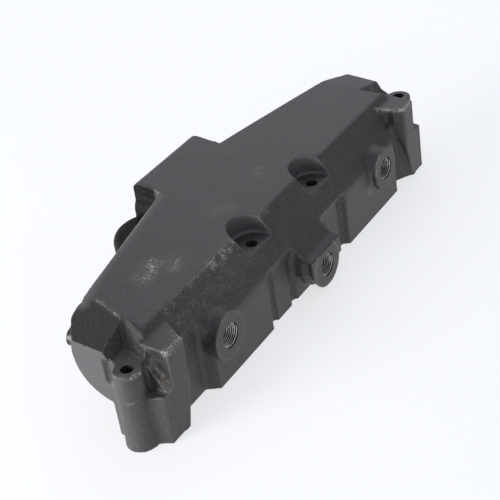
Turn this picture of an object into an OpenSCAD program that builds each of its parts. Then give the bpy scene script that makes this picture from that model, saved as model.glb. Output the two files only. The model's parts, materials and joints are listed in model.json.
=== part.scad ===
// Hydraulic monoblock valve: a cast body with its spool, relief valve,
// load checks, plugs and seals.
// X runs along the body, +Y to its back, +Z up from the machined base.
// Y sizes are first given from the line through the four bolt holes, and
// placed() then moves every piece so that the origin is under the middle.

/* [Body casting] */
// Length between the two end walls
body_length = 396; // [392:1:400]
// Height of the ridge between the top face and the front facet
ridge_height = 72.9; // [72.5:0.1:73.5]
// Rise of the top face toward the back, in degrees
top_slope = 9.65; // [9:0.05:10]
// Height at which the front facet meets the front wall
facet_foot = 45; // [44:0.5:46]
// Distance of the front wall ahead of the bolt line
front_wall = 19.4; // [19:0.1:20]
// Width of the rear block
block_width = 79; // [76:1:82]
// Distance of the rear block's back face behind the bolt line
block_back = 104; // [103:0.5:105]

/* [Ports and bolt holes] */
// Radius of the port bores, which take an M18 thread
port_r = 9.1; // [9:0.05:9.2]
// Distance of the outer ports from the middle
port_x = 118.5; // [118:0.5:120]
// Radius of the four vertical bolt holes
bolt_r = 4.5; // [4.2:0.1:4.6]
// Distance of the end bolt holes from the middle
tower_x = 197.5; // [196:0.5:198]
// Distance of the scalloped bolt holes from the middle
scallop_x = 44.5; // [44:0.5:45]
// Height of the four bolt seats
seat_z = 59.5; // [59:0.5:60]

/* [Spool] */
// Radius of the spool bore
bore_r = 9; // [8.9:0.05:9.1]
// Radial clearance between the spool and its bore
spool_gap = 0.03; // [0.02:0.01:0.06]
// Length of the spool
spool_length = 280; // [278:1:282]

/* [Hidden] */
$fn = 64;

iron = [0.13, 0.13, 0.135];
steel = [0.62, 0.63, 0.65];
zinc = [0.75, 0.74, 0.68];
rubber = [0.05, 0.05, 0.05];
eps = 0.01;
big = 400;

// Outer faces of the body, from the bolt line
half_length = body_length / 2;
ridge_y = 2.3;
front_y = -front_wall;
centre_port_y = -33.2;
side_port_y = -24.6;
cap_back = 124;
depth_middle = (cap_back + centre_port_y) / 2;
top_rise = tan(top_slope);
edge_y_mid = 89.5;
edge_round = 13;
edge_taper = 0.214;
taper = atan(edge_taper);
far_y = edge_y_mid - edge_taper * half_length;
corner_r = 14;
corner_x = -half_length + corner_r + 0.3;
corner_y = far_y - corner_r * (1 / cos(taper) - edge_taper);
block_r = 3;
casing_r = 34;
casing_y = 10;
casing_z = 60;
plate_under = 58;
tower_r = 9.7;
tower_foot_r = 11.6;
foot_top = 38;
fin_x = 181;
lobe_x = 58;
lobe_y = 80;
lobe_r = 27;
lobe_top = 65;
corner_low = 48;
facet_tilt = 7.4;
facet_fall_left = 15.5;
facet_fall_right = 11.2;
seat_lean = 27;

// Ports and their bosses
side_port_z = 36.7;
centre_port_z = 21;
port_depth = 18;
drill_r = 6.5;
boss_r = 17.4;
centre_boss_r = 19;
centre_boss_half = 21;
centre_boss_top = 34;

// Spool bore and the drillings that reach it
spool_y = 23;
spool_z = 46;
bore_left = -188;
chamber_start = 160;
plug_shank_r = 10.5;
plug_head_r = 13.5;
end_boss_r = 18;
end_boss_face = 200;
groove_r = 12;
groove_w = 14;
check_x = 58;
tank_x = 90;
tank_r = 7;
outlet_r = 4.5;
land_half = 10;
neck_r = 5.5;

// Relief valve, whose axis runs along Y through the rear block
relief_z = 52;
relief_seat_y = 50;
relief_bore_r = 9;
relief_seal_floor = 101;
hex_back = 111;
locknut_back = 115.5;
relief_drain_y = 61;

// Load checks, whose axes run along Y through the rear lobes
check_seat_y = 60;
check_bore_r = 8;
check_seat_r = 5;
check_face = 103;
check_floor = 98;
check_outlet_y = 66;

// Pilot drillings, closed by plugs in the back wall
pilot_left = -184;
pilot_right = 172;
pilot_z = 62;
pilot_r = 4.5;
pilot_left_back = 48;
pilot_right_back = 46;
pilot_thread_r = 5.5;
pilot_thread = 9;

// O-ring recesses in the base
base_seal_r = 7.4;
base_seal_cord = 2.4;
tank_seal_r = 10.6;
recess_gap = 1.3;

// Counterbores of the screwed-in pieces, and the O-ring cord they share
relief_face_r = 11.5;
check_face_r = 11.2;
pilot_face_r = 8.6;
seal_cord = 2.4;
gallery_plug_r = 7.5;
gallery_plug_h = 5.5;

// ---------------------------------------------------------------- helpers
module placed() {
    translate([0, -depth_middle, 0]) children();
}

module both_ends() {
    children();
    mirror([1, 0, 0]) children();
}

// Cylinder along X, from x = a to x = b
module rod_x(a, b, r) {
    translate([a, 0, 0]) rotate([0, 90, 0]) cylinder(h = b - a, r = r);
}

// Cylinder along Y, from y = a to y = b
module rod_y(a, b, r) {
    translate([0, a, 0]) rotate([-90, 0, 0]) cylinder(h = b - a, r = r);
}

// Cone along Y, from radius ra at y = a to radius rb at y = b
module cone_y(a, b, ra, rb) {
    translate([0, a, 0]) rotate([-90, 0, 0]) cylinder(h = b - a, r1 = ra, r2 = rb);
}

// Ring of cord, lying in the XY plane
module o_ring(r, cord) {
    rotate_extrude($fn = 48) translate([r, 0]) circle(d = cord, $fn = 24);
}

// Hexagonal prism along Y, by its width across flats
module hex_y(a, b, flats) {
    translate([0, a, 0]) rotate([-90, 0, 0])
        cylinder(h = b - a, d = flats / cos(30), $fn = 6);
}

// Point i of the coil's wire outline, on ring k
function coil_point(r, wire, pitch, k, i, steps, sides) =
    let (turn = 360 * k / steps, around = 360 * i / sides)
    let (rr = r + wire / 2 * cos(around))
    [rr * cos(turn), rr * sin(turn), pitch * k / steps + wire / 2 * sin(around)];

// Round-wire compression spring along Z, with its wire inside z = 0 to length
module coil(r, wire, turns, length) {
    steps = 12;
    sides = 6;
    rings = turns * steps;
    pitch = (length - wire) / turns;
    points = [
        for (k = [0 : rings], i = [0 : sides - 1])
            coil_point(r, wire, pitch, k, i, steps, sides)
    ];
    walls = [
        for (k = [0 : rings - 1], i = [0 : sides - 1])
            let (j = (i + 1) % sides)
            [k * sides + i, k * sides + j, (k + 1) * sides + j, (k + 1) * sides + i]
    ];
    start_cap = [[for (i = [sides - 1 : -1 : 0]) i]];
    end_cap = [[for (i = [0 : sides - 1]) rings * sides + i]];
    translate([0, 0, wire / 2])
        polyhedron(points = points, faces = concat(walls, start_cap, end_cap));
}

// ---------------------------------------------------------------- casting
function top_z(y) = ridge_height + (y - ridge_y) * top_rise;

// Side profile: base, front wall, facet, sloped top and the rounded back edge
module side_profile() {
    round_r = 8;
    round_z = top_z(block_back - round_r) - round_r;
    rounded_edge = [
        for (angle = [90 : -15 : 0])
            [block_back - round_r + round_r * cos(angle), round_z + round_r * sin(angle)]
    ];
    polygon(concat(
        [[front_y, 0], [front_y, facet_foot], [ridge_y, ridge_height]],
        rounded_edge, [[block_back, 0]]
    ));
}

// Along X, the solid under the profile
module profile_prism() {
    rotate([90, 0, 90]) translate([0, 0, -half_length])
        linear_extrude(height = body_length) side_profile();
}

// Plans of the rounded rear corners; the left one bulges around its pilot plug
module left_corner_plan() {
    translate([-176, 38]) circle(r = 15.8);
    translate([corner_x, corner_y]) circle(r = corner_r);
}

module right_corner_plan() {
    translate([half_length - 10.5, 36]) circle(r = 10.5);
}

// Plan of the top plate: straight tapering back edges and the rear block
module plate_plan() {
    near_y = edge_y_mid - edge_taper * block_width / 2;
    polygon([
        [-half_length, front_y], [half_length, front_y],
        [half_length, far_y], [block_width / 2, near_y], [-block_width / 2, near_y],
        [corner_x, corner_y + corner_r - 0.3], [-half_length, corner_y - 4]
    ]);
    translate([corner_x, corner_y]) circle(r = corner_r);
    translate([-block_width / 2 + block_r, 0])
        square([block_width - 2 * block_r, block_back]);
    translate([-block_width / 2, 0])
        square([block_width, block_back - block_r]);
    for (side = [-1, 1])
        translate([side * (block_width / 2 - block_r), block_back - block_r])
            circle(r = block_r);
}

// Plan of the machined base and the walls that stand on it
module base_plan() {
    polygon([
        [-half_length, front_y], [half_length, front_y], [half_length, 18],
        [184, 24], [118, 30], [100, 70], [-100, 70], [-118, 30],
        [-184, 24], [-half_length, 18]
    ]);
}

// Cone that carries the left corner's end down into the casing
module corner_foot() {
    translate([corner_x, corner_y, corner_low - 16])
        cylinder(h = 16.5, r1 = corner_r - 9, r2 = corner_r - 0.1);
}

// Plate above its underside, casing below it, walls down to the base
module main_solid() {
    intersection() {
        profile_prism();
        union() {
            translate([0, 0, plate_under])
                linear_extrude(height = big) plate_plan();
            translate([0, casing_y, casing_z])
                rod_x(-half_length, half_length, casing_r);
            linear_extrude(height = plate_under + eps) base_plan();
            translate([0, 0, corner_low]) linear_extrude(height = big) {
                left_corner_plan();
                right_corner_plan();
            }
            corner_foot();
        }
    }
    rear_lobes();
    relief_housing();
}

// Round rear lobe with a rounded top edge, which is also a rear foot
module rear_lobe() {
    edge = 9;
    translate([lobe_x, lobe_y, 0])
        rotate_extrude() {
            square([lobe_r, lobe_top - edge]);
            square([lobe_r - edge, lobe_top]);
            intersection() {
                translate([lobe_r - edge, lobe_top - edge]) circle(r = edge);
                square([lobe_r, lobe_top]);
            }
        }
}

module rear_lobes() {
    both_ends() {
        rear_lobe();
        translate([lobe_x, 0, spool_z]) rod_y(lobe_y, check_face, 14.5);
    }
}

// The rear block's lower part, which holds the relief valve
module relief_housing() {
    for (side = [-1, 1])
        translate([side * 31, 0, 66]) rod_y(50, block_back - 2, 13);
    translate([0, 0, relief_z]) rod_y(40, block_back, 18);
    translate([-18, 40, relief_z]) cube([36, block_back - 40, 12]);
    translate([-30, 20, 0]) cube([60, 68, 48]);
}

// Round column around an end bolt hole
module tower() {
    translate([tower_x, 0, 0]) cylinder(h = seat_z, r1 = tower_foot_r, r2 = tower_r);
}

// Corner lug: front view of the foot and the wedge block above it
module lug_front() {
    polygon([
        [193, 0], [193, foot_top], [181.5, foot_top], [181.5, 69], [154, 69],
        [154, 62], [160.5, 45], [172.5, 0]
    ]);
}

// Plan of the lug, whose inner side leans back to the upright hollow
module lug_plan() {
    polygon([
        [154, 1], [154, -1], [164, -21.5], [192, -20.5], [197, -8], [197, 1]
    ]);
}

module corner_lug() {
    intersection() {
        translate([0, 3, 0]) rotate([90, 0, 0]) linear_extrude(height = 30) lug_front();
        linear_extrude(height = big) lug_plan();
        rotate([90, 0, 90]) linear_extrude(height = big)
            polygon([[-30, 0], [-30, 65], [3, 68.4], [3, 0]]);
    }
    // sloping fin from the wedge's foot up to the seat
    rotate([90, 0, 90]) translate([0, 0, fin_x])
        linear_extrude(height = 6.5)
            polygon([[2, 0], [-20.5, 0], [-20.5, foot_top], [-5, seat_z], [2, seat_z]]);
}

// Hollows above the lug's foot, on both sides of the fin
module fin_hollows() {
    translate([fin_x - 0.4, -45.5, foot_top - 0.5]) cube([40, 40, big]);
}

// Round boss of an outer port, and the square-topped boss of the centre port
module side_port_boss() {
    translate([port_x, 0, side_port_z]) rod_y(side_port_y, 0, boss_r);
}

module centre_port_boss() {
    intersection() {
        translate([0, 0, centre_boss_r + 4]) rod_y(centre_port_y, 0, centre_boss_r);
        translate([-big / 2, -big / 2, 0]) cube([big, big, centre_boss_top - 4]);
    }
    rotate([90, 0, 90]) translate([0, 0, -centre_boss_half])
        linear_extrude(height = 2 * centre_boss_half)
            polygon([
                [0, 20], [centre_port_y, 20], [centre_port_y, centre_boss_top],
                [-26, centre_boss_top + 3], [front_y, facet_foot], [0, facet_foot]
            ]);
}

// Groove around the centre boss, behind the flange that its port is in
module centre_boss_groove() {
    difference() {
        translate([-30, centre_port_y + 2, 2]) cube([60, 6.5, centre_boss_top - 4]);
        translate([0, 0, centre_boss_r + 4]) rod_y(-40, 0, centre_boss_r - 3);
        translate([3 - centre_boss_half, -40, 20]) cube([2 * centre_boss_half - 6, 40, 20]);
    }
}

// Sloped facet that cuts the top face off at one end, falling outward by an angle
module end_facet_cut(fall) {
    translate([166, 46, 80.3]) rotate([facet_tilt, fall, 0])
        translate([-20, -big / 2, 0]) cube([big, big, big]);
}

// Rounds the long tapering edge between the top face and the back wall
module back_edge_cut() {
    length = 2 * half_length;
    translate([0, edge_y_mid, top_z(edge_y_mid)])
        rotate([top_slope, 0, -taper]) difference() {
            translate([block_width / 2 + 2, -edge_round, -edge_round])
                cube([length, 3 * edge_round, 3 * edge_round]);
            translate([0, -edge_round, -edge_round]) rod_x(0, 2 * length, edge_round);
        }
}

// Space outside a wall that leans back above the seat, through (x, y) at seat height
module outside_seat_wall(x, y, turn) {
    translate([x, y, seat_z]) rotate([0, 0, turn]) rotate([0, -seat_lean, 0])
        translate([0, -big / 2, -big / 2]) cube([big, big, big]);
}

// Leaning walls around the seat of an end bolt
module seat_slopes() {
    intersection() {
        outside_seat_wall(tower_x, 12.5, -90);
        outside_seat_wall(180.7, 7.5, 13.4);
        outside_seat_wall(184.5, -2.5, 29);
        translate([0, -big / 2, seat_z]) cube([big, big, big]);
    }
}

// Seat cut down around an end bolt hole, and the hollow behind the tower
module tower_seat_cut() {
    intersection() {
        linear_extrude(height = big)
            polygon([
                [190, 22], [179.5, 12.5], [182, 2], [187, -7], [187, -60],
                [300, -60], [300, 22]
            ]);
        rotate([90, 0, 90]) linear_extrude(height = big)
            polygon([[-70, seat_z], [12.5, seat_z], [22, seat_z + 16], [22, 200], [-70, 200]]);
    }
    translate([201, 14.5, 46]) {
        cylinder(h = 16, r = 5.8);
        sphere(r = 5.8);
    }
    difference() {
        translate([184, -60, -1]) cube([60, 60, big]);
        translate([0, 0, -1]) linear_extrude(height = big)
            polygon([[180, 1], [180, -20.5], [192, -20.5], [197.5, -8], [197.5, 1]]);
    }
}

// Scalloped pocket with a flat seat, open toward the facet
module scallop_cut() {
    pocket_r = 16;
    translate([scallop_x, 0, seat_z]) {
        cylinder(h = big, r = pocket_r);
        translate([-pocket_r, -40, 0]) cube([2 * pocket_r, 40, big]);
    }
}

// Upright hollow in the front wall beside a lug, from x = start outward
module lug_hollow(start) {
    translate([0, 0, -1]) linear_extrude(height = facet_foot + 12.5)
        polygon([
            [start, -40], [start + 1, -20], [start + 6, -10.5], [158, -10.5],
            [175, -21], [175, -40]
        ]);
}

// Upright hollows beside the centre section and its port boss
module front_wall_cuts() {
    translate([0, 0, -1]) linear_extrude(height = facet_foot + 1)
        polygon([[-1, -40], [-1, -17], [49, -17], [51, -14.5], [57, -14.5], [60, -20], [60, -40]]);
    translate([25, -19, -1]) cylinder(h = facet_foot - 6, r = 4.5);
}

// Pocket in the inner side of the wedge block
module wedge_pocket_cut() {
    translate([156.5, -10, 52]) cylinder(h = 11.5, r = 4.5);
}

module casting() {
    difference() {
        union() {
            difference() {
                main_solid();
                end_facet_cut(facet_fall_right);
                mirror([1, 0, 0]) end_facet_cut(facet_fall_left);
                both_ends() {
                    back_edge_cut();
                    seat_slopes();
                    scallop_cut();
                    front_wall_cuts();
                    fin_hollows();
                }
                lug_hollow(144);
                mirror([1, 0, 0]) lug_hollow(131);
            }
            both_ends() {
                corner_lug();
                side_port_boss();
            }
            difference() {
                centre_port_boss();
                centre_boss_groove();
            }
            translate([pilot_right, 0, pilot_z]) rod_y(20, pilot_right_back, 9.5);
        }
        both_ends() {
            tower_seat_cut();
            wedge_pocket_cut();
        }
    }
    both_ends() tower();
    translate([0, spool_y, spool_z]) rod_x(180, end_boss_face, end_boss_r);
}

// ------------------------------------------------------- drilled passages
// Threaded port, its drilling and the cone between them
module port_hole(y_face, z, drill_end) {
    translate([0, 0, z]) {
        rod_y(y_face - 1, y_face + port_depth, port_r);
        cone_y(y_face + port_depth - eps, y_face + port_depth + 2.6, port_r, drill_r);
        rod_y(y_face + port_depth, drill_end, drill_r);
    }
}

module spool_bore() {
    translate([0, spool_y, spool_z]) {
        rod_x(bore_left, chamber_start + 1, bore_r);
        rod_x(chamber_start, end_boss_face + 1, plug_shank_r);
        rod_x(end_boss_face - 6, end_boss_face + 1, plug_head_r + 0.2);
        for (x = [0, check_x, -check_x, tank_x, -tank_x, port_x, -port_x])
            translate([x, 0, 0]) rod_x(-groove_w / 2, groove_w / 2, groove_r);
    }
}

// Upright drilling from the base, with an O-ring recess around its mouth
module base_drilling(x, y, r, height, recess_r) {
    translate([x, y, -1]) cylinder(h = height + 1, r = r);
    translate([x, y, -1]) cylinder(h = 1 + base_seal_cord, r = recess_r);
}

module relief_bore() {
    translate([0, 0, relief_z]) {
        rod_y(spool_y + 6, relief_seat_y + 1, outlet_r);
        rod_y(relief_seat_y, block_back + 1, relief_bore_r);
        rod_y(relief_drain_y - 4, relief_drain_y + 4, relief_face_r);
        rod_y(relief_seal_floor, block_back + 1, relief_face_r);
    }
    base_drilling(0, relief_drain_y, outlet_r, relief_z - 9, base_seal_r + recess_gap);
}

module check_bore() {
    translate([check_x, 0, spool_z]) {
        rod_y(spool_y, check_seat_y, check_seat_r);
        cone_y(check_seat_y - 1, check_seat_y, check_seat_r, check_seat_r + 1);
        rod_y(check_seat_y, check_face + 1, check_bore_r);
        rod_y(check_floor, check_face + 20, check_face_r);
    }
    base_drilling(check_x, check_outlet_y, outlet_r, spool_z, base_seal_r + recess_gap);
}

// Pilot drilling from the back face down to a groove around the spring chamber
module pilot_bore(x, back) {
    translate([x, 0, pilot_z]) {
        rod_y(spool_y, back, pilot_r);
        rod_y(back - pilot_thread, back + 1, pilot_thread_r);
        rod_y(back, back + 20, pilot_face_r);
    }
    translate([x, spool_y, spool_z]) rod_x(-4, 4, groove_r);
}

module drillings() {
    both_ends() {
        translate([port_x, 0, 0]) port_hole(side_port_y, side_port_z, spool_y);
        translate([tower_x, 0, -1]) cylinder(h = seat_z + 2, r = bolt_r);
        translate([scallop_x, 0, -1]) cylinder(h = seat_z + 2, r = bolt_r);
        base_drilling(tank_x, spool_y, tank_r, spool_z, tank_seal_r + recess_gap);
        check_bore();
    }
    port_hole(centre_port_y, centre_port_z, spool_y + drill_r);
    translate([0, spool_y, -1]) cylinder(h = spool_z, r = drill_r);
    translate([0, spool_y, -1]) cylinder(h = gallery_plug_h + 1.5, r = gallery_plug_r);
    spool_bore();
    relief_bore();
    pilot_bore(pilot_left, pilot_left_back);
    pilot_bore(pilot_right, pilot_right_back);
}

module valve_body() {
    color(iron) placed() difference() {
        casting();
        drillings();
    }
}

// ------------------------------------------------------------------ spool
// Spool outline: closed lands over the grooves, necks between them
module main_spool() {
    half = spool_length / 2;
    land_r = bore_r - spool_gap;
    color(steel) placed() translate([0, spool_y, spool_z]) {
        rod_x(-half, half, neck_r);
        for (x = [0, check_x, -check_x]) translate([x, 0, 0])
            rod_x(-land_half, land_half, land_r);
        for (side = [-1, 1]) translate([side * (half - 20), 0, 0])
            rod_x(-20, 20, land_r);
    }
}

// Cup that centres a spring on the spool's end; dir is the way it faces
module spool_seat(dir) {
    half = spool_length / 2;
    color(steel) placed() translate([0, spool_y, spool_z])
        rotate([0, 0, dir > 0 ? 0 : 180]) {
            rod_x(half, half + 2.5, bore_r - 0.2);
            rod_x(half, half + 8, 4.6);
        }
}

module spool_seat_left() {
    spool_seat(-1);
}

module spool_seat_right() {
    spool_seat(1);
}

// Spring from the spool seat outward to x = far
module spool_spring(near, far) {
    color(zinc) placed() translate([near, spool_y, spool_z]) rotate([0, 90, 0])
        coil(6.6, 1.8, 7, far - near);
}

module spool_spring_left() {
    spool_spring(bore_left, -spool_length / 2 - 2.5);
}

module spool_spring_right() {
    spool_spring(spool_length / 2 + 2.5, 188);
}

module end_plug() {
    color(steel) placed() translate([0, spool_y, spool_z]) difference() {
        union() {
            rod_x(178, end_boss_face - 0.5, plug_shank_r);
            rod_x(end_boss_face - 3.6, end_boss_face, plug_head_r);
        }
        rod_x(177, 188, 8.2);
        translate([end_boss_face - 6, 0, 0]) rotate([0, 90, 0])
            cylinder(h = 7, d = 12 / cos(30), $fn = 6);
    }
}

module end_plug_seal() {
    color(rubber) placed() translate([end_boss_face - 4.8, spool_y, spool_z])
        rotate([0, 90, 0]) o_ring(12, seal_cord);
}

// ----------------------------------------------------------- relief valve
module relief_cartridge() {
    color(zinc) placed() translate([0, 0, relief_z]) difference() {
        union() {
            rod_y(relief_seat_y, block_back + 1, relief_bore_r - 0.02);
            hex_y(block_back, hex_back, 26);
        }
        rod_y(relief_seat_y - 1, relief_seat_y + 3, 3);
        cone_y(relief_seat_y + 2, relief_seat_y + 3, 3, 4);
        rod_y(relief_seat_y + 3 - eps, block_back - 6, 6);
        rod_y(block_back - 7, hex_back + 1, 5);
        for (spin = [0, 90]) rotate([0, spin, 0])
            translate([0, relief_drain_y, 0]) cylinder(h = 30, r = 1.8, center = true);
    }
}

module relief_cartridge_seal() {
    color(rubber) placed() translate([0, block_back - 1.5, relief_z])
        rotate([90, 0, 0]) o_ring(10.2, seal_cord);
}

module relief_poppet() {
    y0 = relief_seat_y + 2.03;
    color(steel) placed() translate([0, 0, relief_z]) {
        cone_y(y0 - 1, y0 + 1.4, 2, 4.4);
        rod_y(y0 + 1.4, y0 + 6, 3.2);
        rod_y(y0 + 12, y0 + 18, 5.95);
        rod_y(y0 + 5, y0 + 13, 3.2);
        rod_y(y0 + 17, y0 + 24, 2.6);
    }
}

module relief_spring() {
    color(zinc) placed() translate([0, relief_seat_y + 20.03, relief_z])
        rotate([-90, 0, 0]) coil(4.3, 1.6, 6, 19);
}

module relief_spring_seat() {
    y0 = relief_seat_y + 39.03;
    color(steel) placed() translate([0, 0, relief_z]) {
        rod_y(y0 - 4, y0 + 1, 2.6);
        rod_y(y0, y0 + 4, 5.9);
    }
}

module relief_adjuster() {
    y0 = relief_seat_y + 43.03;
    color(steel) placed() translate([0, 0, relief_z]) difference() {
        rod_y(y0, 119, 4.9);
        hex_y(116, 120, 4);
    }
}

module relief_locknut() {
    color(zinc) placed() translate([0, 0, relief_z]) difference() {
        hex_y(hex_back, locknut_back, 17);
        rod_y(hex_back - 1, locknut_back + 1, 4.95);
    }
}

// Acorn cap over the adjuster's end
module relief_cap() {
    dome_y = cap_back - 7.5;
    color(zinc) placed() translate([0, 0, relief_z]) difference() {
        union() {
            hex_y(locknut_back, dome_y + 1.5, 15);
            intersection() {
                translate([0, dome_y, 0]) sphere(r = 7.5);
                rod_y(dome_y, cap_back + 1, 7.5);
            }
        }
        rod_y(locknut_back - 1, 120, 4.95);
    }
}

// ------------------------------------------------------------ load checks
module load_check_poppet(side) {
    y0 = check_seat_y + 0.03;
    color(steel) placed() translate([side * check_x, 0, spool_z]) difference() {
        union() {
            cone_y(y0 - 2, y0 + 0.6, check_seat_r - 1, check_seat_r + 1.6);
            rod_y(y0 + 0.5, y0 + 13, 5);
            rod_y(y0 + 12, y0 + 24, check_bore_r - 0.05);
        }
        rod_y(y0 + 16, y0 + 25, 5.6);
    }
}

module load_check_spring(side) {
    color(zinc) placed() translate([side * check_x, check_seat_y + 16.03, spool_z])
        rotate([-90, 0, 0]) coil(4.4, 1.3, 6, 17.97);
}

module load_check_plug(side) {
    color(steel) placed() translate([side * check_x, 0, spool_z]) difference() {
        union() {
            rod_y(check_floor - 4, check_face - 0.5, check_bore_r);
            rod_y(check_floor + 2.4, check_face + 1.5, 11);
        }
        hex_y(check_face - 3, check_face + 2, 10);
    }
}

module load_check_seal(side) {
    color(rubber) placed() translate([side * check_x, check_floor + 1.2, spool_z])
        rotate([90, 0, 0]) o_ring(9.3, seal_cord);
}

module load_check_poppet_left() {
    load_check_poppet(-1);
}

module load_check_spring_left() {
    load_check_spring(-1);
}

module load_check_plug_left() {
    load_check_plug(-1);
}

module load_check_seal_left() {
    load_check_seal(-1);
}

module load_check_poppet_right() {
    load_check_poppet(1);
}

module load_check_spring_right() {
    load_check_spring(1);
}

module load_check_plug_right() {
    load_check_plug(1);
}

module load_check_seal_right() {
    load_check_seal(1);
}

// ------------------------------------------------------- plugs and seals
module gallery_plug() {
    color(steel) placed() translate([0, spool_y, 0.5]) difference() {
        cylinder(h = gallery_plug_h, r = gallery_plug_r);
        translate([0, 0, -1]) cylinder(h = 3.5, d = 6 / cos(30), $fn = 6);
    }
}

// Places a piece on the back face over each pilot drilling
module at_pilots() {
    translate([pilot_left, pilot_left_back, pilot_z]) children();
    translate([pilot_right, pilot_right_back, pilot_z]) children();
}

module pilot_plugs() {
    color(steel) placed() at_pilots() difference() {
        union() {
            rod_y(1 - pilot_thread, 2, pilot_thread_r);
            rod_y(1.5, 5.5, 6.6);
        }
        hex_y(2.5, 6, 6);
    }
}

module pilot_plug_washers() {
    color(steel) placed() at_pilots() difference() {
        rod_y(0, 1.5, 7.6);
        rod_y(-1, 2, pilot_thread_r);
    }
}

// O-rings, pressed flush with the base as they are once it is bolted down
module base_seals() {
    lift = base_seal_cord / 2;
    color(rubber) placed() translate([0, 0, lift]) {
        both_ends() {
            translate([tank_x, spool_y, 0]) o_ring(tank_seal_r, base_seal_cord);
            translate([check_x, check_outlet_y, 0]) o_ring(base_seal_r, base_seal_cord);
        }
        translate([0, relief_drain_y, 0]) o_ring(base_seal_r, base_seal_cord);
    }
}

valve_body();
main_spool();
spool_seat_left();
spool_seat_right();
spool_spring_left();
spool_spring_right();
end_plug();
end_plug_seal();
relief_cartridge();
relief_cartridge_seal();
relief_poppet();
relief_spring();
relief_spring_seat();
relief_adjuster();
relief_locknut();
relief_cap();
load_check_poppet_left();
load_check_spring_left();
load_check_plug_left();
load_check_seal_left();
load_check_poppet_right();
load_check_spring_right();
load_check_plug_right();
load_check_seal_right();
gallery_plug();
pilot_plugs();
pilot_plug_washers();
base_seals();
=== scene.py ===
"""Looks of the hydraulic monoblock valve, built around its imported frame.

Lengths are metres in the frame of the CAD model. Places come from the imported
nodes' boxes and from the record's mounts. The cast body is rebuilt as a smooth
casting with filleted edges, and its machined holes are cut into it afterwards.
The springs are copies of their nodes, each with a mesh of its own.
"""

import json
import math

import bmesh
import bpy
import numpy as np
from mathutils import Matrix, Vector, noise


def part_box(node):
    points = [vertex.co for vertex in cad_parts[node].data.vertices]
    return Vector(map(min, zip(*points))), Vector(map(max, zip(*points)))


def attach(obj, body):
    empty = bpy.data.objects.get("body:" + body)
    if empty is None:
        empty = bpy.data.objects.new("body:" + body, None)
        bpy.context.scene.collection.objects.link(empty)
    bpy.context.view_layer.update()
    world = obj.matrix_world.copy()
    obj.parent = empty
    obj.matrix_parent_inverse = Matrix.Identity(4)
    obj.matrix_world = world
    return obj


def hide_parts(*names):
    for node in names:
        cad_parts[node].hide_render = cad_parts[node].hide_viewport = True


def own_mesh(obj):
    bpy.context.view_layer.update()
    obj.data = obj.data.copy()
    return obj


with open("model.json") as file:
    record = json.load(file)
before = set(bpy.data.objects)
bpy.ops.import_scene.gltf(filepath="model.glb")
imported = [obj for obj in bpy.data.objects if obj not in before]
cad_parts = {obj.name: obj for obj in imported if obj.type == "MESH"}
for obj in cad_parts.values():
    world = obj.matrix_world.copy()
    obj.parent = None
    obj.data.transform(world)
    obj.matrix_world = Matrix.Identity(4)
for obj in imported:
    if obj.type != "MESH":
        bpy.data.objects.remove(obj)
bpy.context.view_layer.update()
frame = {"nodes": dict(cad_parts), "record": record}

MM = 0.001
UP = Vector((0, 0, 1))
BACK = Vector((0, 1, 0))
RIGHT = Vector((1, 0, 0))
MOUNTS = {mount["name"]: mount for mount in frame["record"]["mounts"]}
PORTS = ("side_port_left", "side_port_right", "centre_port")
OVERSHOOT = 3 * MM
FILL_OVER = 0.3 * MM

# Bores of the casting that no mount or node states
PORT_DRILL_R = 6.5 * MM
PORT_CONE = 2.6 * MM
SMALL_DRILLING_R = 4.5 * MM
SMALL_RECESS_R = 8.7 * MM
CHAMBER_R = 10.5 * MM
GROOVE_R = 12 * MM
GROOVE_HALF = 7 * MM
RELIEF_BORE_R = 9 * MM
PILOT_THREAD_R = 5.5 * MM
PILOT_FACE_R = 8.6 * MM

# Places on the casting. The back wall's y is from the bolt line, at the middle.
LEFT_WALL_X = -195 * MM
BACK_WALL_Y = 90.5 * MM
BACK_WALL_TAPER = 0.214
BOSS_R = 17.6 * MM
SCALLOP_R = 17.5 * MM
SCALLOP_FOOT = 50 * MM
FACET_FOOT = 43 * MM
FACET_FULL = 54 * MM
FACET_NORMAL = Vector((0, -0.79, 0.614))

# Colours of the coat
COAT_DARK = (0.038, 0.035, 0.0415, 1)
COAT_LIGHT = (0.0495, 0.0457, 0.0535, 1)
BROWN_DARK = (0.0185, 0.0145, 0.016, 1)
BROWN_LIGHT = (0.056, 0.046, 0.049, 1)
DUST = (0.13, 0.12, 0.11, 1)
# Painted light on the left end wall and on the scallop walls
PAINTED_LIGHT_TINT = (0.115, 0.117, 0.12, 1)
SAND = (0.24, 0.21, 0.17, 1)
RUBBED = (0.15, 0.14, 0.12, 1)
IRON_DARK = (0.30, 0.26, 0.20, 1)
IRON_LIGHT = (0.62, 0.59, 0.54, 1)

# Cast skin
VOXEL = 0.8 * MM
SMOOTHING = 5
FILLET_SMOOTHING = 90
SKIN_WAVE = 0.2 * MM
MACHINED_DEPTH = 1.2 * MM
MACHINED_FADE = 2.0 * MM

# Threads of the ports
THREAD_PITCH = 1.5 * MM
THREAD_DEPTH = 0.92 * MM
STEPS_PER_TURN = 48


# ------------------------------------------------------------------ geometry
def middle(node):
    low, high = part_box(node)
    return (low + high) / 2


def mesh_object(name, mesh):
    made = bpy.data.objects.new(name, mesh)
    bpy.context.scene.collection.objects.link(made)
    return made


def add_cone(mesh, start, end, r_start, r_end, sides=72):
    """Closed cone or cylinder between two points, added to a bmesh."""
    run = end - start
    turn = run.to_track_quat("Z", "Y").to_matrix().to_4x4()
    place = Matrix.Translation((start + end) / 2) @ turn
    bmesh.ops.create_cone(
        mesh, cap_ends=True, segments=sides, radius1=r_start, radius2=r_end,
        depth=run.length, matrix=place,
    )


def cone_object(start, end, r_start, r_end):
    mesh = bmesh.new()
    add_cone(mesh, start, end, r_start, r_end)
    data = bpy.data.meshes.new("cone")
    mesh.to_mesh(data)
    mesh.free()
    return mesh_object("cone", data)


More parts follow.
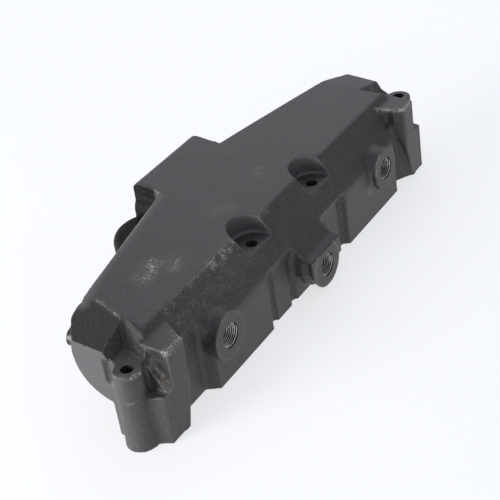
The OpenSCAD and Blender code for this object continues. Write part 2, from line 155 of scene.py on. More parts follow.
def applied(thing):
    """Gives thing the mesh that its modifiers make, and removes them."""
    graph = bpy.context.evaluated_depsgraph_get()
    made = bpy.data.meshes.new_from_object(thing.evaluated_get(graph))
    thing.modifiers.clear()
    thing.data = made
    return thing


def boolean(target, cutter, operation):
    step = target.modifiers.new("boolean", "BOOLEAN")
    step.operation = operation
    step.solver = "MANIFOLD"
    step.object = cutter
    applied(target)
    bpy.data.objects.remove(cutter)
    return target


def points_of(mesh):
    flat = np.zeros(len(mesh.vertices) * 3)
    mesh.vertices.foreach_get("co", flat)
    return flat.reshape(-1, 3)


def normals_of(mesh):
    flat = np.zeros(len(mesh.vertices) * 3)
    mesh.vertex_normals.foreach_get("vector", flat)
    return flat.reshape(-1, 3)


def smooth_step(low, high, value):
    share = np.clip((value - low) / (high - low), 0, 1)
    return share * share * (3 - 2 * share)


# -------------------------------------------------------------- machined holes
# A hole is (inner end, mouth, radius inside, radius at the mouth, how far the
# mouth end stands out of the casting), so that a rod can fill just the casting.
def bored(inner, mouth, radius, proud=0.0):
    return inner, mouth, radius, radius, proud


def port_face(mount):
    """Centre of a port's mouth, and the way out of it."""
    out = Vector(mount["axis"])
    return Vector(mount["pos_m"]) + out * mount["dims"]["length_mm"] * MM / 2, out


def port_holes():
    """Threaded length, cone and drilling of each port."""
    holes = []
    for name in PORTS:
        mount = MOUNTS[name]
        mouth, out = port_face(mount)
        radius = mount["dims"]["r_mm"] * MM
        floor = mouth - out * mount["dims"]["length_mm"] * MM
        tip = floor - out * PORT_CONE
        far = Vector((floor.x, middle("main_spool").y, floor.z))
        holes.append(bored(floor, mouth + out * OVERSHOOT, radius, OVERSHOOT))
        holes.append((tip, floor + out * 0.01 * MM, PORT_DRILL_R, radius, 0.0))
        holes.append(bored(far, floor, PORT_DRILL_R))
    return holes


def bolt_holes():
    holes = []
    for name in ("tower_bolts", "scallop_bolts"):
        mount = MOUNTS[name]
        centre = Vector(mount["pos_m"])
        radius = mount["dims"]["hole_r_mm"] * MM
        for side in (-1, 1):
            top = centre + RIGHT * side * mount["dims"]["spacing_x_mm"] * MM / 2
            half_way = Vector((top.x, top.y, top.z / 2))
            foot = Vector((top.x, top.y, -OVERSHOOT))
            holes.append(bored(half_way, top + UP * OVERSHOOT, radius, OVERSHOOT))
            holes.append(bored(half_way, foot, radius, OVERSHOOT))
    return holes


def base_holes():
    """Drillings up from the base, each with its O-ring recess, and the plugged one."""
    spool = middle("main_spool")
    check_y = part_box("load_check_poppet_right")[0].y + 8 * MM
    check_x = middle("load_check_plug_right").x
    relief_y = middle("relief_poppet").y - 2.5 * MM
    ring_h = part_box("base_seals")[1].z
    tank_x = MOUNTS["tank_outlet_right"]["pos_m"][0]
    tank_r = MOUNTS["tank_outlet_right"]["dims"]["r_mm"] * MM
    tank_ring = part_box("base_seals")[1].x - tank_x + 0.1 * MM
    small_r, small_ring = SMALL_DRILLING_R, SMALL_RECESS_R
    drilling_top = spool.z - 6 * MM
    plug_low, plug_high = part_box("gallery_plug")
    rows = [(0, relief_y, small_r, small_ring, ring_h, drilling_top)]
    for side in (-1, 1):
        rows.append((side * tank_x, spool.y, tank_r, tank_ring, ring_h, drilling_top))
        rows.append((side * check_x, check_y, small_r, small_ring, ring_h, drilling_top))
    plug_r = (plug_high.x - plug_low.x) / 2
    rows.append((0, spool.y, PORT_DRILL_R, plug_r, plug_high.z, spool.z))
    holes = []
    for x, y, radius, recess_r, recess_top, top in rows:
        foot = Vector((x, y, -OVERSHOOT))
        holes.append(bored(Vector((x, y, top)), foot, radius, OVERSHOOT))
        holes.append(bored(Vector((x, y, recess_top)), foot, recess_r, OVERSHOOT))
    return holes


def spool_holes():
    """Spool bore, spring chambers, the plug's counterbore and the oil grooves."""
    centre = middle("main_spool")
    low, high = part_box("main_spool")
    bore_r = (high.z - low.z) / 2 + 0.03 * MM
    left_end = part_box("spool_spring_left")[0].x - 0.12 * MM
    plug_low, plug_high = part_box("end_plug")
    head_r = (plug_high.z - plug_low.z) / 2
    check_x = middle("load_check_plug_right").x
    tank_x = MOUNTS["tank_outlet_right"]["pos_m"][0]
    port_x = MOUNTS["side_port_right"]["pos_m"][0]
    out = plug_high.x + OVERSHOOT
    rows = [
        (left_end, plug_low.x, bore_r, 0.0),
        (plug_low.x - 18 * MM, out, CHAMBER_R, OVERSHOOT),
        (plug_high.x - 6 * MM, out, head_r + 0.2 * MM, OVERSHOOT),
    ]
    for x in (0, check_x, -check_x, tank_x, -tank_x, port_x, -port_x):
        rows.append((x - GROOVE_HALF, x + GROOVE_HALF, GROOVE_R, 0.0))
    return [
        bored(Vector((a, centre.y, centre.z)), Vector((b, centre.y, centre.z)), r, proud)
        for a, b, r, proud in rows
    ]


def valve_holes():
    """Stepped bores of the relief valve and of the two load checks."""
    spool_y = middle("main_spool").y
    seal_low, seal_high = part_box("relief_cartridge_seal")
    axis_z = middle("relief_cartridge").z
    face_r = (seal_high.x - seal_low.x) / 2 + 0.1 * MM
    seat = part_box("relief_cartridge")[0].y
    face = seal_high.y + 0.3 * MM
    out = face + OVERSHOOT
    rows = [
        (0, axis_z, spool_y, seat, SMALL_DRILLING_R, 0.0),
        (0, axis_z, seat, out, RELIEF_BORE_R, OVERSHOOT),
        (0, axis_z, seat + 7 * MM, seat + 15 * MM, face_r, 0.0),
        (0, axis_z, seal_low.y - 0.3 * MM, out, face_r, OVERSHOOT),
    ]
    for side in ("left", "right"):
        plug = middle(f"load_check_plug_{side}")
        seal_low, seal_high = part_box(f"load_check_seal_{side}")
        poppet_low, poppet_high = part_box(f"load_check_poppet_{side}")
        bore_r = (poppet_high.z - poppet_low.z) / 2 + 0.05 * MM
        face_r = (seal_high.z - seal_low.z) / 2 + 0.7 * MM
        seat = poppet_low.y + 1.97 * MM
        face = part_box(f"load_check_plug_{side}")[1].y
        out = face + 3 * OVERSHOOT
        rows.append((plug.x, plug.z, spool_y, seat, 5 * MM, 0.0))
        rows.append((plug.x, plug.z, seat, face, bore_r, 0.0))
        rows.append((plug.x, plug.z, seal_low.y, out, face_r, 3 * OVERSHOOT))
    return [
        bored(Vector((x, a, z)), Vector((x, b, z)), r, proud)
        for x, z, a, b, r, proud in rows
    ]


def pilot_faces():
    """Where each pilot plug sits: the centre of its washer's inner face."""
    low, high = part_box("pilot_plug_washers")
    radius = (high.z - low.z) / 2
    height = middle("pilot_plugs").z
    return [
        Vector((low.x + radius, high.y - 1.5 * MM, height)),
        Vector((high.x - radius, low.y, height)),
    ]


def pilot_holes():
    spool = middle("main_spool")
    holes = []
    clear = 20 * MM
    thread_depth = 9 * MM
    half_width = 4 * MM
    for face in pilot_faces():
        out = face + BACK * clear
        bottom = Vector((face.x, spool.y, face.z))
        groove = Vector((face.x, spool.y, spool.z))
        left, right = groove - RIGHT * half_width, groove + RIGHT * half_width
        holes.append(bored(bottom, out, SMALL_DRILLING_R, clear))
        holes.append(bored(face - BACK * thread_depth, out, PILOT_THREAD_R, clear))
        holes.append(bored(face, out, PILOT_FACE_R, clear))
        holes.append(bored(left, right, GROOVE_R))
    return holes


def all_holes():
    return (
        port_holes() + bolt_holes() + base_holes()
        + spool_holes() + valve_holes() + pilot_holes()
    )


def hole_cutter(holes):
    cutter = cone_object(*holes[0][:4])
    for hole in holes[1:]:
        boolean(cutter, cone_object(*hole[:4]), "UNION")
    return cutter


# --------------------------------------------------------------- cast body
def filled_copy(node, holes):
    """The node's mesh with a rod in each hole, as one object of closed shells."""
    mesh = bmesh.new()
    mesh.from_mesh(frame["nodes"][node].data)
    bmesh.ops.remove_doubles(mesh, verts=mesh.verts, dist=1e-6)
    for inner, mouth, r_inner, r_mouth, proud in holes:
        face = mouth + (inner - mouth).normalized() * proud
        if (face - inner).length > MM:
            add_cone(mesh, inner, face, r_inner + FILL_OVER, r_mouth + FILL_OVER, 48)
    data = bpy.data.meshes.new(node)
    mesh.to_mesh(data)
    mesh.free()
    return mesh_object("cast_body", data)


def machined_share(points):
    """1 on the machined faces and 0 a little way from them."""
    height = points[:, 2]
    depth = [height]
    for name, reach in zip(PORTS, (18, 18, 29)):
        face, out = port_face(MOUNTS[name])
        away = np.hypot(points[:, 0] - face.x, height - face.z)
        depth.append(np.where(away < reach * MM, np.abs(points[:, 1] - face.y), 1.0))
    near = np.minimum.reduce(depth)
    return 1 - smooth_step(MACHINED_DEPTH, MACHINED_DEPTH + MACHINED_FADE, near)


def skin_wave(points):
    """Slow unevenness of the cast skin, from 0 to 1."""
    slow = [noise.noise(Vector(p) * 45) + 0.5 * noise.noise(Vector(p) * 170) for p in points]
    return np.clip(np.array(slow) * 0.5 + 0.5, 0, 1)


def near_path(points, path, reach):
    """1 on the path's line, falling to 0 at reach from it."""
    best = np.full(len(points), np.inf)
    for start, end in zip(path, path[1:]):
        start, end = np.array(start), np.array(end)
        run = end - start
        along = np.clip((points - start) @ run / (run @ run), 0, 1)
        away = np.linalg.norm(points - start - np.outer(along, run), axis=1)
        best = np.minimum(best, away)
    return 1 - smooth_step(0, reach, best)


def on_bolt_line(*places):
    """Points given in mm from the middle of the bolt line at base height."""
    line_y = MOUNTS["tower_bolts"]["pos_m"][1]
    return [Vector((x * MM, line_y + y * MM, z * MM)) for x, y, z in places]


def wear_share(points):
    """How rubbed each point is, from 0 to 1."""
    rows = [
        (2.6, 1.0, (-138, 2, 73), (-62, 2.3, 73)),
        (7, 0.62, (-148, 0, 72), (-90, 0, 72)),
        (10, 0.85, (-92, -1, 71), (-62, 1, 72)),
        (6, 0.75, (-30, 2, 73), (-16, 1, 73)),
        (12, 0.95, (-131, 31, 78), (-112, 33, 78)),
        (11, 0.6, (-111, 20, 76), (-102, 24, 77)),
        (8, 0.42, (-46, 34, 78), (-28, 24, 77)),
        (8, 0.45, (16, 28, 77), (24, 32, 78)),
        (3, 1.0, (-164, 44, 79.5), (-171, 19, 75.8), (-181, -4, 72)),
        (8.5, 1.0, (-184, -20, 66), (-176, -21.5, 66), (-165, -20.5, 66)),
        (8, 1.0, (-165, -20, 66), (-158, -12, 67)),
        (3.5, 1.0, (-206.5, 4, 59), (-204, -7, 59), (-197, -9.5, 58)),
        (4.5, 1.0, (154, -1, 68), (164, -21, 65.5), (178, -20.5, 65.5)),
        (2.5, 1.0, (101.5, -24.6, 38), (104, -24.6, 47), (111, -24.6, 53)),
        (2, 0.8, (-127, -24.6, 52), (-118, -24.6, 54)),
        (26, 0.4, (-150, -6, 62), (-70, -8, 62)),
    ]
    share = np.zeros(len(points))
    for reach, strength, *path in rows:
        near = near_path(points, on_bolt_line(*path), reach * MM)
        share = np.maximum(share, strength * near)
    return share


def painted_shade_share(points, normals):
    """Painted shade: darker places in the end facet's hollow and on what stands out of the back.
    """
    line_y = MOUNTS["tower_bolts"]["pos_m"][1]
    to_left = -normals[:, 0]
    x, y, z = points.T
    corner_x, block_x = -150 * MM, 42 * MM
    front_end = line_y - np.where(z > 59 * MM, 18, 3) * MM
    end = (x < corner_x) & (z > 45 * MM) & (y > front_end)
    sloping = smooth_step(0.02, 0.15, normals[:, 2])
    hollow = end * smooth_step(0.1, 0.3, to_left) * np.maximum(sloping, x > LEFT_WALL_X)
    wall_y = line_y + BACK_WALL_Y - BACK_WALL_TAPER * np.abs(x)
    behind = smooth_step(0, 2 * MM, y - wall_y) * (x > corner_x)
    behind *= smooth_step(32 * MM, 50 * MM, z)
    lobes = smooth_step(0, 0.3, normals[:, 2]) * (np.abs(x) > block_x)
    sides = np.maximum(smooth_step(0.2, 0.45, to_left), lobes)
    return np.maximum(0.45 * hollow, sides * behind)


def in_scallops(points):
    """Which points lie in the scallops around the two inner bolt holes."""
    mount = MOUNTS["scallop_bolts"]
    spread = mount["dims"]["spacing_x_mm"] * MM / 2
    line_x, line_y = mount["pos_m"][0], mount["pos_m"][1]
    away = np.hypot(np.abs(points[:, 0] - line_x) - spread, points[:, 1] - line_y)
    return (away < SCALLOP_R) & (points[:, 2] > SCALLOP_FOOT)


def painted_light_share(points, normals):
    """Painted light: the left end wall and the walls of the scallops, made paler."""
    line_y = MOUNTS["tower_bolts"]["pos_m"][1]
    end = smooth_step(0.93, 0.99, -normals[:, 0]) * (points[:, 0] < LEFT_WALL_X)
    end *= points[:, 1] > line_y + 5 * MM
    return np.maximum(end, 0.8 * (in_scallops(points) & (normals[:, 2] < 0.9)))


def boss_rings(points):
    """Thin light lines around the faces of the two outer ports: worn edges, partly painted
    highlight.
    """
    share = np.zeros(len(points))
    for name in ("side_port_left", "centre_port"):
        face, _ = port_face(MOUNTS[name])
        turns = [math.radians(20 * step) for step in range(19)]
        ring = [face + BOSS_R * Vector((math.cos(a), 0, math.sin(a))) for a in turns]
        share = np.maximum(share, near_path(points, ring, 1.4 * MM))
    return share


def facet_share(points, normals):
    """The brown front facet, which fades toward the front wall."""
    facet = smooth_step(0.86, 0.98, normals @ np.array(FACET_NORMAL))
    on_boss = np.abs(points[:, 0]) < 24 * MM
    return facet * np.maximum(smooth_step(FACET_FOOT, FACET_FULL, points[:, 2]), on_boss)


def seam_and_highlight_share(points):
    """Light lines: the tower's parting line, painted highlights at the foot of the scallop walls
    and along the back edge, and the ports' rings, worn edges partly painted highlight.
    """
    parting = on_bolt_line((-208, -2, 39), (-205, -8, 40), (-200, -11, 40.5))
    seams_and_highlights = near_path(points, parting, 1 * MM)
    spread = MOUNTS["scallop_bolts"]["dims"]["spacing_x_mm"] / 2
    # Painted highlight at the foot of each scallop wall
    for x in (-spread, spread):
        turns = [math.radians(30 * step) for step in range(7)]
        arc = [(x + 15.7 * math.cos(a), 15.7 * math.sin(a), 60) for a in turns]
        seams_and_highlights = np.maximum(seams_and_highlights, near_path(points, on_bolt_line(*arc), 2 * MM))
    # Painted highlight along the rounded back edge of the top
    back_edge = on_bolt_line(
        (-171, 50.5, 80), (-138, 60, 81.5), (-98, 67, 82.5), (-62, 74, 84), (-45, 77, 84.5)
    )
    seams_and_highlights = np.maximum(seams_and_highlights, 0.9 * near_path(points, back_edge, 8 * MM))
    return np.maximum(seams_and_highlights, boss_rings(points))


def paint_masks(mesh, points, normals, edge_wear_and_painted_light):
    """Point attributes that the coat's material reads."""
    fin = near_path(points, on_bolt_line((-184, -9, 54), (-184, -21, 38)), 7 * MM)
    lip = near_path(points, on_bolt_line((101, -18, 27), (103, -17, 48)), 9 * MM)
    base = smooth_step(0.9, 0.99, -normals[:, 2]) * (points[:, 2] < MM)
    masks = {
        "edge": edge_wear_and_painted_light, "seams_and_highlights": seam_and_highlight_share(points), "facet": facet_share(points, normals),
        "wear": wear_share(points), "fin": fin * (normals[:, 2] > 0.1), "lip": lip,
        "painted_shade": painted_shade_share(points, normals), "painted_light": painted_light_share(points, normals),
        "bare": base,
    }
    for name, values in masks.items():
        mesh.attributes.new(name, "FLOAT", "POINT")
        mesh.attributes[name].data.foreach_set("value", values.astype(np.float32))


def soft_share(points, filled):
    """Where the casting is softest: its inner corners and a few rounded edges."""
    inner = smooth_step(0.12, 0.6, filled) * np.where(in_scallops(points), 0.25, 1.0)
    rows = [
        (15, 1.0, (-160, -19, 45), (-24, -19, 45)),
        (15, 1.0, (24, -19, 45), (160, -19, 45)),
        (6, 0.7, (-180, 2, 73), (180, 2, 73)),
        (9, 0.8, (-164, 44, 79.5), (-171, 19, 75.8), (-181, -4, 72)),
        (7, 0.6, (-173, 8, 72), (-181, 4, 60)),
        (7, 0.6, (173, 8, 72), (181, 4, 60)),
        (6, 0.8, (-19, -20, 43), (-21, -32, 33)),
    ]
    share = inner
    for reach, strength, *path in rows:
        near = near_path(points, on_bolt_line(*path), reach * MM)
        share = np.maximum(share, strength * near)
    return share[:, None]


def smoothed_by(thing, iterations, group="cast", level=False):
    """Where a smoothing of the group would move thing's points, or only sideways."""
    smooth = thing.modifiers.new("smooth", "SMOOTH")
    smooth.factor = 0.5
    smooth.iterations = iterations
    smooth.vertex_group = group
    smooth.use_z = not level
    graph = bpy.context.evaluated_depsgraph_get()
    points = points_of(thing.evaluated_get(graph).data)
    thing.modifiers.clear()
    return points


def remeshed(rough):
    """rough as one even skin."""
    remesh = rough.modifiers.new("remesh", "REMESH")
    remesh.mode = "VOXEL"
    remesh.voxel_size = VOXEL
    return applied(rough)


def add_smoothing_groups(rough, machined, base):
    """Point weights for smoothed_by: the cast skin, and the rim of the base."""
    group = rough.vertex_groups.new(name="cast")
    levels = np.round((1 - machined) * 10).astype(int)
    for level in range(1, 11):
        members = np.nonzero(levels == level)[0].tolist()
        group.add(members, level / 10, "REPLACE")
    foot = rough.vertex_groups.new(name="foot")
    foot.add(np.nonzero(base > 0)[0].tolist(), 1.0, "REPLACE")


def smoothed_casting(rough):
    """rough with a cast skin: rounded edges, soft inner corners and a slow wave."""
    remeshed(rough)
    before = points_of(rough.data)
    machined = machined_share(before)
    base = 1 - smooth_step(MACHINED_DEPTH, MACHINED_DEPTH + MACHINED_FADE, before[:, 2])
    add_smoothing_groups(rough, machined, base)
    rim = base[:, None] * (smoothed_by(rough, SMOOTHING, "foot", level=True) - before)
    crisp = smoothed_by(rough, SMOOTHING) + rim
    soft = smoothed_by(rough, FILLET_SMOOTHING) + rim
    rough.data.vertices.foreach_set("co", crisp.ravel())
    rough.data.update()
    normals = normals_of(rough.data)
    filled = np.einsum("ij,ij->i", soft - before, normals) / MM
    edge_wear_and_painted_light = np.einsum("ij,ij->i", before - crisp, normals) / MM
    points = crisp + soft_share(before, filled) * (soft - crisp)
    dent = (SKIN_WAVE * skin_wave(points) * (1 - machined))[:, None] * normals
    rough.data.vertices.foreach_set("co", (points - dent).ravel())
    paint_masks(rough.data, points, normals, edge_wear_and_painted_light)
    rough.vertex_groups.clear()
    return rough


def mark_cut_faces(body, holes, material_index):
    """Gives the faces that line a hole the machined material."""
    count = len(body.data.polygons)
    centres = np.zeros(count * 3)
    body.data.polygons.foreach_get("center", centres)
    centres = centres.reshape(-1, 3)
    inside = np.zeros(count, bool)
    for start, end, r_start, r_end, _ in holes:
        run = np.array(end - start)
        length = np.linalg.norm(run)
        run /= length
        offset = centres - np.array(start)
        along = offset @ run
        radius = r_start + (r_end - r_start) * np.clip(along / length, 0, 1)
        away = np.linalg.norm(offset - np.outer(along, run), axis=1)
        inside |= (along > -1e-5) & (along < length + 1e-5) & (away < radius + 1e-5)
    body.data.polygons.foreach_set("material_index", inside.astype(int) * material_index)


def set_shading(thing, angle):
    """Smooth shading, with edges sharper than angle left sharp."""
    mesh = bmesh.new()
    mesh.from_mesh(thing.data)
    for face in mesh.faces:
        face.smooth = True
    for edge in mesh.edges:
        edge.smooth = len(edge.link_faces) == 2 and edge.calc_face_angle(0) < angle
    mesh.to_mesh(thing.data)
    mesh.free()


def make_cast_body(coat, cut_steel):
    holes = all_holes()
    body = smoothed_casting(filled_copy("valve_body", holes))
    boolean(body, hole_cutter(holes), "DIFFERENCE")
    body.data.materials.clear()
    body.data.materials.append(coat)
    body.data.materials.append(cut_steel)
    mark_cut_faces(body, holes, 1)
    set_shading(body, math.radians(38))
    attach(body, "housing")
    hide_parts("valve_body")
    return body


# ------------------------------------------------------------------- threads
def thread_rings(mesh, mouth, inward, radius, length):
    """A thread's triangular section at each step of its helix, thin at both ends."""
    turns = length / THREAD_PITCH
    steps = int(turns * STEPS_PER_TURN)
    across = inward.orthogonal().normalized()
    over = inward.cross(across)
    half = THREAD_PITCH * 0.46
    profile = [(-half, 0.05 * MM), (0, -THREAD_DEPTH), (half, 0.05 * MM)]
    rings = []
    for step in range(steps + 1):
        angle = 2 * math.pi * step / STEPS_PER_TURN
        fade = min(1.0, step / 12, (steps - step) / 12)
        spoke = across * math.cos(angle) + over * math.sin(angle)
        depth = THREAD_PITCH * (step / STEPS_PER_TURN + 0.6)
        rings.append([
            mesh.verts.new(
                mouth + inward * (depth + along) + spoke * (radius + rise * max(fade, 0.05))
            )
            for along, rise in profile
        ])
    return rings


def make_thread(name, mouth, inward, radius, length, material):
    """Ridge of an internal thread: a triangle swept along a helix."""
    mesh = bmesh.new()
    rings = thread_rings(mesh, mouth, inward, radius, length)
    for first, second in zip(rings, rings[1:]):
        for i in range(3):
            j = (i + 1) % 3
            mesh.faces.new((first[i], first[j], second[j], second[i]))
    mesh.faces.new(rings[0][::-1])
    mesh.faces.new(rings[-1])
    bmesh.ops.recalc_face_normals(mesh, faces=mesh.faces)
    data = bpy.data.meshes.new(name)
    mesh.to_mesh(data)
    mesh.free()
    crest = data.attributes.new("crest", "FLOAT", "POINT")
    crest.data.foreach_set("value", [0.0, 1.0, 0.0] * len(rings))
    thread = mesh_object(name, data)
    data.materials.append(material)
    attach(thread, "housing")
    return thread


def make_port_threads(material):
    for name in PORTS:
        mount = MOUNTS[name]
        mouth, out = port_face(mount)
        length = mount["dims"]["length_mm"] * MM - 2.4 * THREAD_PITCH
        radius = mount["dims"]["r_mm"] * MM
        make_thread(f"{name}_thread", mouth, -out, radius, length, material)


# ----------------------------------------------------------------- materials
class Material:
    """A node material, with short calls for the nodes that the surfaces share."""

    def __init__(self, name, roughness, metallic=0.0, specular=0.5):
        self.material = bpy.data.materials.new(name)
        self.material.use_nodes = True
        self.tree = self.material.node_tree
        self.shader = self.tree.nodes["Principled BSDF"]
        self.shader.inputs["Roughness"].default_value = roughness
        self.shader.inputs["Metallic"].default_value = metallic
        self.shader.inputs["Specular IOR Level"].default_value = specular
        self.place = self.add("ShaderNodeTexCoord").outputs["Object"]

    def add(self, kind, **values):
        made = self.tree.nodes.new(kind)
        for key, value in values.items():
            setattr(made, key, value)
        return made

    def link(self, source, target):
        self.tree.links.new(source, target)

    def fill(self, node, values):
        for key, value in values.items():
            if hasattr(value, "is_output"):
                self.link(value, node.inputs[key])
            else:
                node.inputs[key].default_value = value

    def noise(self, scale, detail=3.0, roughness=0.55):
        made = self.add("ShaderNodeTexNoise")
        self.fill(made, {
            "Vector": self.place, "Scale": scale, "Detail": detail, "Roughness": roughness,
        })
        return made.outputs["Fac"]

    def ramp(self, value, low, high, to_low=0.0, to_high=1.0):
        made = self.add("ShaderNodeMapRange")
        self.fill(made, {
            "Value": value, "From Min": low, "From Max": high,
            "To Min": to_low, "To Max": to_high,
        })
        return made.outputs["Result"]

    def math(self, operation, first, second):
        made = self.add("ShaderNodeMath", operation=operation)
        self.fill(made, {0: first, 1: second})
        return made.outputs[0]

    def mix(self, share, first, second):
        made = self.add("ShaderNodeMix", data_type="RGBA")
        self.fill(made, {0: share, 6: first, 7: second})
        return made.outputs[2]

    def attribute(self, name):
        return self.add("ShaderNodeAttribute", attribute_name=name).outputs["Fac"]

    def bump(self, height, distance, strength=1.0, normal=None):
        made = self.add("ShaderNodeBump")
        self.fill(made, {"Height": height, "Distance": distance, "Strength": strength})
        if normal:
            self.link(normal, made.inputs["Normal"])
        return made.outputs["Normal"]

    def finish(self, colour, normal=None, roughness=None, metallic=None):
        self.link(colour, self.shader.inputs["Base Color"])
        if normal:
            self.link(normal, self.shader.inputs["Normal"])
        if roughness:
            self.link(roughness, self.shader.inputs["Roughness"])
        if metallic:
            self.link(metallic, self.shader.inputs["Metallic"])
        return self.material


def grey(value, warm=0.0):
    return (value * (1 + warm), value, value * (1 - warm), 1.0)


def coat_colour(m, fine, painted_shade):
    """Mottled black, brown on the facet and lighter on rims, which are partly worn and partly
    painted highlight, with painted shade in hollows and inner corners and painted light on the
    end wall and scallops.
    """
    cloud = m.ramp(m.noise(22, 4), 0.35, 0.65)
    coat = m.mix(cloud, COAT_DARK, COAT_LIGHT)
    coat = m.mix(fine, m.mix(0.45, coat, grey(0.016)), m.mix(0.58, coat, grey(0.068)))
    # Painted shade: the coat goes near black in the painted shade places
    coat = m.mix(m.math("MULTIPLY", painted_shade, 0.9), coat, grey(0.004))
    # Painted light: the left end wall and the scallop walls paler
    coat = m.mix(m.math("MULTIPLY", m.attribute("painted_light"), 0.4), coat, PAINTED_LIGHT_TINT)
    dust = m.ramp(m.noise(900, 2, 0.6), 0.62, 0.7, 0, 0.5)
    coat = m.mix(dust, coat, DUST)
    brown = m.math("MULTIPLY", m.attribute("facet"), m.ramp(m.noise(35, 4), 0.3, 0.6, 0.35, 0.85))
    coat = m.mix(brown, coat, m.mix(fine, BROWN_DARK, BROWN_LIGHT))
    edge = m.attribute("edge")
    # Painted shade in the inner corners, where the edge value is below zero
    coat = m.mix(m.ramp(edge, -0.05, -0.4, 0, 0.4), coat, grey(0.012))
    # Light rims: worn paint on outer edges, partly painted highlight, plus the light lines of the
    # seam and highlight mask
    rim = m.ramp(edge, 0.03, 0.22, 0, 0.5)
    rim = m.math("MAXIMUM", rim, m.math("MULTIPLY", m.attribute("seams_and_highlights"), 0.6))
    return m.mix(rim, coat, grey(0.17, 0.01))


def worn_colour(m, coat, fine):
    """The coat with sand on the rib, and with haze and chips where it is rubbed."""
    sand = m.math("MULTIPLY", m.attribute("fin"), m.ramp(m.noise(330, 4, 0.7), 0.36, 0.6))
    coat = m.mix(m.math("MULTIPLY", sand, 0.9), coat, SAND)
    patchy = m.ramp(m.noise(130, 3, 0.6), 0.36, 0.6, 0.35, 1.0)
    rubbed = m.math("MULTIPLY", m.attribute("wear"), patchy)
    haze = m.math("MULTIPLY", rubbed, m.ramp(fine, 0.2, 0.8, 0.3, 0.8))
    coat = m.mix(haze, coat, RUBBED)
    needed = m.ramp(rubbed, 0, 1, 0.76, 0.46)
    specks = m.math("SUBTRACT", m.noise(1200, 2, 0.6), needed)
    chipped = m.ramp(specks, 0, 0.035)
    return m.mix(chipped, coat, m.mix(m.noise(300, 2), IRON_DARK, IRON_LIGHT))


def black_coat():
    """Semi-matt black coating on rough iron, bare on the machined base."""
    m = Material("black_coat", 0.45)
    fine = m.ramp(m.noise(480, 4, 0.75), 0.34, 0.66)
    painted_shade, bare = m.attribute("painted_shade"), m.attribute("bare")
    colour = worn_colour(m, coat_colour(m, fine, painted_shade), fine)
    colour = m.mix(bare, colour, m.mix(fine, grey(0.30), grey(0.42)))
    sheen = m.ramp(m.attribute("lip"), 0.1, 0.7, 0.45, 0.13)
    roughness = m.math("MULTIPLY", sheen, m.ramp(fine, 0, 1, 0.92, 1.12))
    grain = m.bump(m.noise(1000, 3, 0.6), 0.28 * MM, m.ramp(bare, 0, 1, 1, 0.1))
    normal = m.bump(m.noise(420, 3), 0.4 * MM, m.ramp(bare, 0, 1, 0.8, 0.05), grain)
    # Painted shade: less reflection in the painted shade places
    m.link(m.ramp(painted_shade, 0, 1, 0.5, 0.08), m.shader.inputs["Specular IOR Level"])
    return m.finish(colour, normal, roughness, bare)


def cut_steel():
    """Dark walls of the machined holes: the dark colour is painted shade."""
    m = Material("cut_steel", 0.38, metallic=0.6)
    tone = m.ramp(m.noise(300, 3), 0.3, 0.7)
    colour = m.mix(tone, grey(0.05, 0.03), grey(0.10, 0.03))
    return m.finish(colour, m.bump(m.noise(2500, 2), 0.03 * MM))


def thread_steel():
    """Threads: bright crests over dark roots; the dark of the roots is painted shade."""
    m = Material("thread_steel", 0.3, metallic=1.0)
    crest = m.ramp(m.attribute("crest"), 0.25, 0.8)
    bright = m.mix(m.ramp(m.noise(500, 2), 0.3, 0.7), grey(0.4, 0.04), grey(0.75, 0.03))
    return m.finish(m.mix(crest, grey(0.012), bright), m.bump(m.noise(2500, 2), 0.02 * MM))


def fine_metal(name, dark, bright, roughness, warm=0.0):
    m = Material(name, roughness, metallic=1.0)
    tone = m.ramp(m.noise(350, 3), 0.35, 0.65)
    colour = m.mix(tone, grey(dark, warm), grey(bright, warm))
    return m.finish(colour, m.bump(m.noise(2100, 2), 0.02 * MM))


def seal_rubber():
    m = Material("seal_rubber", 0.62, specular=0.35)
    tone = m.ramp(m.noise(250, 3), 0.35, 0.65)
    colour = m.mix(tone, grey(0.012), grey(0.026))
    return m.finish(colour, m.bump(m.noise(1800, 2), 0.03 * MM))


def dress_nodes():
    """Materials of the CAD nodes that show as they are."""
    ground = fine_metal("ground_steel", 0.52, 0.66, 0.22)
    spring = fine_metal("spring_steel", 0.26, 0.36, 0.38)
    black = fine_metal("black_oxide", 0.05, 0.09, 0.42, 0.02)
    plated = fine_metal("zinc_plate", 0.5, 0.64, 0.34, 0.03)
    rubber = seal_rubber()
    slots = {
        "ground_steel": ground, "spring_steel": spring, "plug_steel": black,
        "plated_steel": plated, "seal_rubber": rubber,
    }
    for part in frame["record"]["subparts"]:
        if part["material_slot"] in slots:
            node = frame["nodes"][part["node"]]
            node.data.materials.clear()
            node.data.materials.append(slots[part["material_slot"]])
            for face in node.data.polygons:
                face.use_smooth = True
            bevel = node.modifiers.new("bevel", "BEVEL")
            bevel.width = 0.25 * MM
            bevel.limit_method = "ANGLE"


def make_coils():
    """Copies of the springs that the joints list as deforming, each with a mesh of its own, on
    the housing.
    """
    for joint in frame["record"]["behaviour"]["joints"]:
        for entry in joint["deforming_nodes"]:
            node = entry["node"]
            coil = mesh_object(f"{node}_coil", frame["nodes"][node].data.copy())
            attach(coil, "housing")
            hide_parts(node)
            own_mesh(coil)


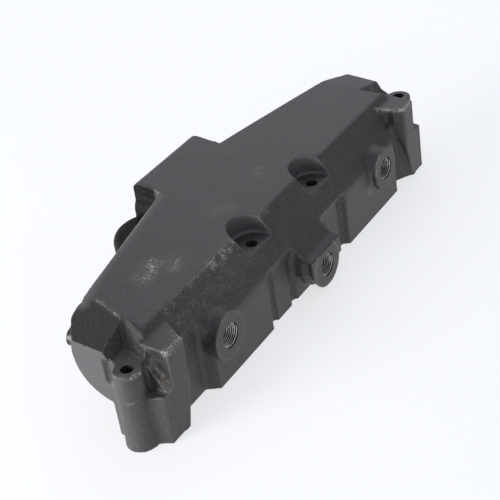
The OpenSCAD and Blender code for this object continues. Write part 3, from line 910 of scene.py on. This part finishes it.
# ------------------------------------------------------------ light and camera
def make_floor():
    bpy.ops.mesh.primitive_plane_add(size=8)
    floor = bpy.context.object
    floor.name = "floor"
    m = Material("floor_paper", 0.8, specular=0.2)
    tone = m.ramp(m.noise(3, 2), 0.3, 0.7)
    paper = m.mix(tone, (0.34, 0.34, 0.343, 1), (0.35, 0.35, 0.353, 1))
    m.shader.inputs["Emission Color"].default_value = (0.97, 0.985, 1, 1)
    m.shader.inputs["Emission Strength"].default_value = 0.7
    floor.data.materials.append(m.finish(paper))


def add_area(name, place, target, size, watts):
    data = bpy.data.lights.new(name, "AREA")
    data.size = size
    data.energy = watts
    lamp = bpy.data.objects.new(name, data)
    bpy.context.scene.collection.objects.link(lamp)
    lamp.location = place
    lamp.rotation_euler = (Vector(target) - Vector(place)).to_track_quat("-Z", "Y").to_euler()
    return lamp


def make_light():
    """Dim surroundings, a soft light behind to the right and a low one at the left."""
    world = bpy.data.worlds.new("studio")
    bpy.context.scene.world = world
    world.use_nodes = True
    world.node_tree.nodes["Background"].inputs["Color"].default_value = (0.86, 0.9, 0.97, 1)
    world.node_tree.nodes["Background"].inputs["Strength"].default_value = 0.52
    add_area("back_light", (1.25, 0.55, 1.15), (0, 0, 0), 1.3, 5.5)
    add_area("left_light", (-1.6, 0.7, 0.35), (0, 0, 0.03), 0.9, 40)
    bpy.context.scene.view_settings.view_transform = "Standard"


def make_camera():
    """Camera given by its turn from the front toward the left end, its rise and its tilt."""
    turn, rise, tilt = math.radians(54.16), math.radians(31.97), math.radians(-9.1)
    distance = 0.94678
    target = Vector((-17.03, -23.44, 32.45)) * MM
    back = Vector((-math.sin(turn) * math.cos(rise), -math.cos(turn) * math.cos(rise),
                   math.sin(rise)))
    level = (-back).cross(UP).normalized()
    top = level.cross(-back)
    side = math.cos(tilt) * level + math.sin(tilt) * top
    over = -math.sin(tilt) * level + math.cos(tilt) * top
    place = target + back * distance
    data = bpy.data.cameras.new("camera")
    data.lens = 91.72
    data.sensor_width = 36
    camera = bpy.data.objects.new("camera", data)
    bpy.context.scene.collection.objects.link(camera)
    camera.matrix_world = Matrix((
        (side.x, over.x, back.x, place.x),
        (side.y, over.y, back.y, place.y),
        (side.z, over.z, back.z, place.z),
        (0, 0, 0, 1),
    ))
    bpy.context.scene.camera = camera


make_camera()
make_floor()
make_light()
make_cast_body(black_coat(), cut_steel())
make_port_threads(thread_steel())
dress_nodes()
make_coils()
